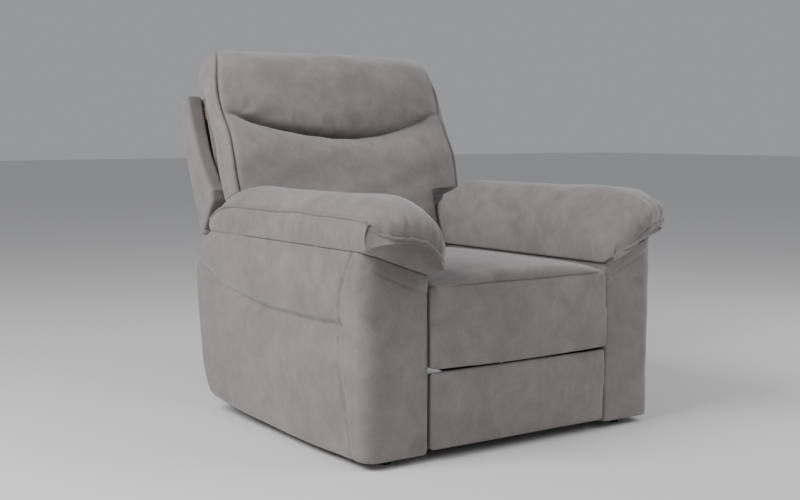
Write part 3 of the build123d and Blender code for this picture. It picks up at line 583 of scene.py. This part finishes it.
def back_cushion_points(cells, crown, crease):
    """The back cushion: a lumbar part and a headrest roll with a deep crease between them."""
    tall = (cells[:, 2] + 1) / 2
    tall = tall + 0.10 * np.sin(pi * tall) * tall
    up = back_bottom + tall * (headrest_top - back_bottom)
    wide = back_narrow + (back_wide - back_narrow) * ease((up - back_step + 0.015) / 0.010)
    wide = wide - 0.024 * ease((up - 0.56) / (headrest_top - 0.56)) ** 1.5
    wide = wide + 0.004 * np.sin(pi * np.clip((up - 0.29) / 0.17, 0, 1))
    wide = wide + 0.006 * np.sin(pi * np.clip((up - 0.47) / 0.27, 0, 1))
    depth = (cells[:, 1] + 1) / 2
    share = cells[:, 0]
    across = share * wide
    line = back_crease_middle + 0.052 * np.clip(np.abs(across) / 0.30, 0, 1.15) ** 2
    front_edge = through([(0.10, -0.066), (0.295, -0.058), (0.40, -0.066), (0.48, -0.056), (0.54, -0.044),
                          (0.69, -0.030), (0.75, -0.006)], up)
    side = np.clip(np.abs(across) / back_wide, 0, 1)
    swell = (1 - side ** 2.6)
    lumbar = 0.9 * crown * np.sin(pi * np.clip((up - 0.05) / (line - 0.05), 0, 1)) ** 0.6 * (up < line)
    above = np.clip((up - line) / (headrest_top + 0.03 - line), 0, 1)
    roll = 1.30 * crown * np.sin(pi * above) ** 0.55 * (up >= line)
    gap = np.abs(up - line)
    groove = crease * (bump(up, line, 0.010) * 0.60 + bump(up, line - 0.004, 0.034) * 0.40)
    groove = groove * (1 - 0.75 * ease((side - 0.70) / 0.28))
    ends = bump(np.abs(across), 0.30, 0.05) * bump(gap, 0.02, 0.03)
    spread = np.arctan2(up - line, np.abs(across) - 0.34)
    rays = 0.0055 * np.sin(spread * 9) * bump(np.abs(across), 0.27, 0.06) * bump(gap, 0, 0.05)
    pull = 0.0038 * waver(across * 52, 41) * bump(gap, 0.022, 0.02) * (side < 0.85)
    broad = 0.0060 * waver(across * 8 + up * 7, 42) + 0.0050 * waver(up * 17 - across * 6, 43)
    ahead = front_edge - swell * (lumbar + roll) + groove * swell ** 0.3 + ends * 0.003
    ahead = ahead + (rays + pull + broad) * swell ** 0.5
    rear = 0.090 - 0.060 * ease((np.abs(across) - 0.355) / 0.02) * ease((0.66 - up) / 0.05)
    behind = ahead + depth * (rear - ahead)
    # the side edges, the gusset with its seam, and the rolled top
    corner = np.maximum(np.abs(share) - 0.93, 0) / 0.07
    behind = behind + (depth < 0.02) * 0.016 * corner ** 2
    across = across - np.sign(share) * 0.012 * bump(depth, 0, 0.05) * (np.abs(share) > 0.98)
    gusset = np.abs(share) > 0.99
    across = across + np.sign(share) * gusset * (0.007 * np.sin(pi * depth) - 0.0025 * bump(depth, 0.5, 0.08)
                                                 + 0.0018 * waver(up * 60, 45) * np.sin(pi * depth))
    over = bump(up, line + 0.016, 0.022) * swell ** 0.5 * (1 - depth) ** 8
    up = up - 0.013 * over
    top = np.clip((up - (headrest_top - headrest_roll)) / headrest_roll, 0, 1)
    thin = np.sqrt(1 - 0.985 * top ** 2.4)
    spine = 0.030
    behind = spine + (behind - spine) * thin
    across = across * (1 - 0.045 * top ** 3)
    up = up + 0.003 * top * waver(across * 14, 46) - 0.004 * top ** 2 * side ** 6
    return back_point(across, behind, up)


def box_piece(name, low, high, radius, cells_count, material, place=None):
    """A covered board with rounded edges, placed straight or in the leaning back's frame."""
    cells, faces = block(*cells_count)
    low, high = np.array(low), np.array(high)
    points = rounded(cells, (high - low) / 2, radius) + (high + low) / 2
    if place:
        points = place(points)
    return make(name, points, faces, material)


def wing(points):
    """Tapers a wing of the back's cover: deep at its foot, thin at its top, its foot cut on a slope."""
    across, behind, up = points.T
    rear = (behind - 0.051) / (0.158 - 0.051)
    start = through([(0.20, 0.060), (0.292, 0.051), (0.468, 0.092), (0.64, 0.096)], up)
    end = through([(0.20, 0.161), (0.56, 0.161), (0.64, 0.136)], up)
    behind = start + rear * (end - start)
    up = up + ease((0.36 - up) / 0.13) * 0.072 * (1 - rear)
    return back_point(across, behind, up)


def rear_panel(points):
    """The back's rear cloth panel: wide above the arms, narrow between them, drawn in at the top."""
    across, behind, up = points.T
    wide = 0.264 + (0.418 - 0.264) * ease((up - 0.212) / 0.014)
    across = across * wide / 0.418
    behind = behind - 0.024 * ease((up - 0.56) / 0.08) + 0.002 * waver(across * 9 + up * 5, 47)
    return back_point(across, behind, up)


class RECLINER_OT_back(Operator):
    """Builds the back cushion with its headrest roll, and the covered rear of the back"""
    bl_idname = "recliner.back"
    bl_label = "Back"

    def execute(self, context):
        shape, cloth = context.scene.recliner_shape, context.scene.recliner_cloth
        suede_back = suede("suede_back", cloth.colour)
        cells, faces = block(150, 30, 170)
        cushion = make("back_cushion_cover", back_cushion_points(cells, shape.crown, shape.crease), faces,
                       suede_back)
        smoothing = cushion.modifiers.new("even", "SMOOTH")
        smoothing.factor, smoothing.iterations = 0.5, 4
        finished(cushion, "back", "lumbar_cushion", "headrest_cushion", fill=0.7)
        panel = box_piece("back_rear_panel", (-0.418, 0.138, 0.016), (0.418, 0.161, 0.636), 0.008,
                          (90, 6, 90), suede_back, rear_panel)
        finished(panel, "back", "back_outer_cover")
        for hand, side in (("left", 1), ("right", -1)):
            low, high = sorted((side * 0.374, side * 0.4195))
            cheek = box_piece(f"back_wing_{hand}", (low, 0.051, 0.222), (high, 0.158, 0.637), 0.010,
                              (14, 24, 80), suede_back, wing)
            finished(cheek, "back")
        lining = box_piece("back_lining", (-0.368, 0.0935, 0.300), (0.368, 0.0985, 0.630), 0.002, (60, 2, 40),
                           suede_back, lambda points: back_point(*points.T))
        finished(lining, "back")
        valance = box_piece("rear_valance_cover", valance_low, valance_high, 0.005, (60, 6, 24), suede_back)
        finished(valance, "base", "rear_valance")
        return {"FINISHED"}


# ------------------------------------------------------------------ frame and mechanism
class RECLINER_OT_hardware(Operator):
    """Gives the wooden frame, the steel mechanism, the springs and the feet their finishes"""
    bl_idname = "recliner.hardware"
    bl_label = "Frame and mechanism"

    def execute(self, context):
        finishes = {
            "frame_wood": surface("planed_wood", "wear", {
                "Dark": (0.30, 0.19, 0.10, 1), "Light": (0.52, 0.37, 0.22, 1), "Scale": 9.0,
                "Stretch": (4, 1, 9), "Rough Low": 0.45, "Rough High": 0.65}, bumpiness=0.15),
            "mechanism": surface("black_powder_coat", "wear", {
                "Dark": (0.012, 0.012, 0.013, 1), "Light": (0.035, 0.035, 0.037, 1), "Scale": 260.0,
                "Rough Low": 0.35, "Rough High": 0.5}, bumpiness=0.25, distance=0.0002),
            "spring_wire": surface("spring_wire", "wear", {
                "Dark": (0.22, 0.22, 0.23, 1), "Light": (0.42, 0.42, 0.43, 1), "Scale": 120.0,
                "Rough Low": 0.25, "Rough High": 0.45}, metallic=1.0, bumpiness=0.1),
            "pins": surface("zinc_plate", "wear", {
                "Dark": (0.45, 0.45, 0.47, 1), "Light": (0.66, 0.66, 0.68, 1), "Scale": 150.0,
                "Rough Low": 0.2, "Rough High": 0.4}, metallic=1.0, bumpiness=0.1),
            "feet": surface("black_feet", "wear", {
                "Dark": (0.008, 0.008, 0.008, 1), "Light": (0.02, 0.02, 0.02, 1), "Scale": 200.0,
                "Rough Low": 0.5, "Rough High": 0.7}, bumpiness=0.2),
        }
        for part in frame["record"]["subparts"]:
            finish = finishes.get(part["material_slot"])
            if finish:
                mesh = frame["nodes"][part["node"]].data
                mesh.materials.clear()
                mesh.materials.append(finish)
        return {"FINISHED"}


# ------------------------------------------------------------------ studio
camera_lens, camera_sensor = 55.4, 36     # millimetres
camera_aside, camera_ahead, camera_height = -2.002, 2.33, 0.793
camera_yaw, camera_pitch = 34.97, 5.54   # degrees, turned to the right and tipped down
floor_half = 30


class RECLINER_OT_stage(Operator):
    """Builds the pale floor, the soft lights and the camera"""
    bl_idname = "recliner.stage"
    bl_label = "Stage"

    def execute(self, context):
        scene = context.scene
        floor_mesh = bpy.data.meshes.new("floor")
        corners = [(x * floor_half, y * floor_half, 0) for x, y in ((-1, -1), (1, -1), (1, 1), (-1, 1))]
        floor_mesh.from_pydata(corners, [], [(0, 1, 2, 3)])
        floor = bpy.data.objects.new("floor", floor_mesh)
        pale = bpy.data.materials.new("pale_floor")
        pale.use_nodes = True
        pale.node_tree.nodes["Principled BSDF"].inputs["Base Color"].default_value = (0.74, 0.73, 0.72, 1)
        pale.node_tree.nodes["Principled BSDF"].inputs["Roughness"].default_value = 0.8
        floor_mesh.materials.append(pale)
        scene.collection.objects.link(floor)
        world = bpy.data.worlds.new("studio")
        world.use_nodes = True
        world.node_tree.nodes["Background"].inputs["Color"].default_value = (0.93, 0.95, 1.0, 1)
        world.node_tree.nodes["Background"].inputs["Strength"].default_value = 0.36
        scene.world = world
        for name, place, aim, size, power in (
                ("window", (-2.9, -0.2, 2.7), (0, 0, 0.5), 2.0, 150),
                ("room", (2.4, -2.9, 2.8), (0, 0, 0.5), 2.2, 60),
                ("far_side", (2.8, -0.8, 1.8), (0, 0, 0.5), 2.0, 16)):
            lamp = bpy.data.lights.new(name, "AREA")
            lamp.size, lamp.energy = size, power
            light = bpy.data.objects.new(name, lamp)
            light.location = place
            towards = np.array(aim) - np.array(place)
            light.rotation_euler = (np.arctan2(np.hypot(*towards[:2]), -towards[2]), 0,
                                    np.arctan2(towards[1], towards[0]) - pi / 2)
            scene.collection.objects.link(light)
        lens = bpy.data.cameras.new("camera")
        lens.lens, lens.sensor_width = camera_lens, camera_sensor
        camera = bpy.data.objects.new("camera", lens)
        camera.location = (camera_aside, front - camera_ahead, camera_height)
        camera.rotation_euler = (radians(90 - camera_pitch), 0, radians(-camera_yaw))
        scene.collection.objects.link(camera)
        scene.camera = camera
        return {"FINISHED"}


class RECLINER_PT_panel(Panel):
    """Lists the steps in the 3D view's sidebar"""
    bl_label = "Recliner armchair"
    bl_idname = "RECLINER_PT_panel"
    bl_space_type = "VIEW_3D"
    bl_region_type = "UI"
    bl_category = "Recliner"

    def draw(self, context):
        for settings in (context.scene.recliner_cloth, context.scene.recliner_shape):
            for label in settings.bl_rna.properties.keys():
                if label not in ("rna_type", "name"):
                    self.layout.prop(settings, label)
        for step in steps:
            self.layout.operator(step.bl_idname)


steps = (RECLINER_OT_hardware, RECLINER_OT_arms, RECLINER_OT_pads, RECLINER_OT_seat, RECLINER_OT_back,
         RECLINER_OT_stage)
classes = (ReclinerCloth, ReclinerShape, *steps, RECLINER_PT_panel)


def register():
    """Adds the settings, the steps and the panel."""
    for kind in classes:
        bpy.utils.register_class(kind)
    bpy.types.Scene.recliner_cloth = PointerProperty(type=ReclinerCloth)
    bpy.types.Scene.recliner_shape = PointerProperty(type=ReclinerShape)


def unregister():
    """Takes them away again."""
    del bpy.types.Scene.recliner_cloth
    del bpy.types.Scene.recliner_shape
    for kind in reversed(classes):
        bpy.utils.unregister_class(kind)


def main():
    """Builds the chair step by step."""
    register()
    bpy.ops.recliner.hardware()
    bpy.ops.recliner.arms()
    bpy.ops.recliner.pads()
    bpy.ops.recliner.seat()
    bpy.ops.recliner.back()
    bpy.ops.recliner.stage()


if __name__ == "__main__":
    main()
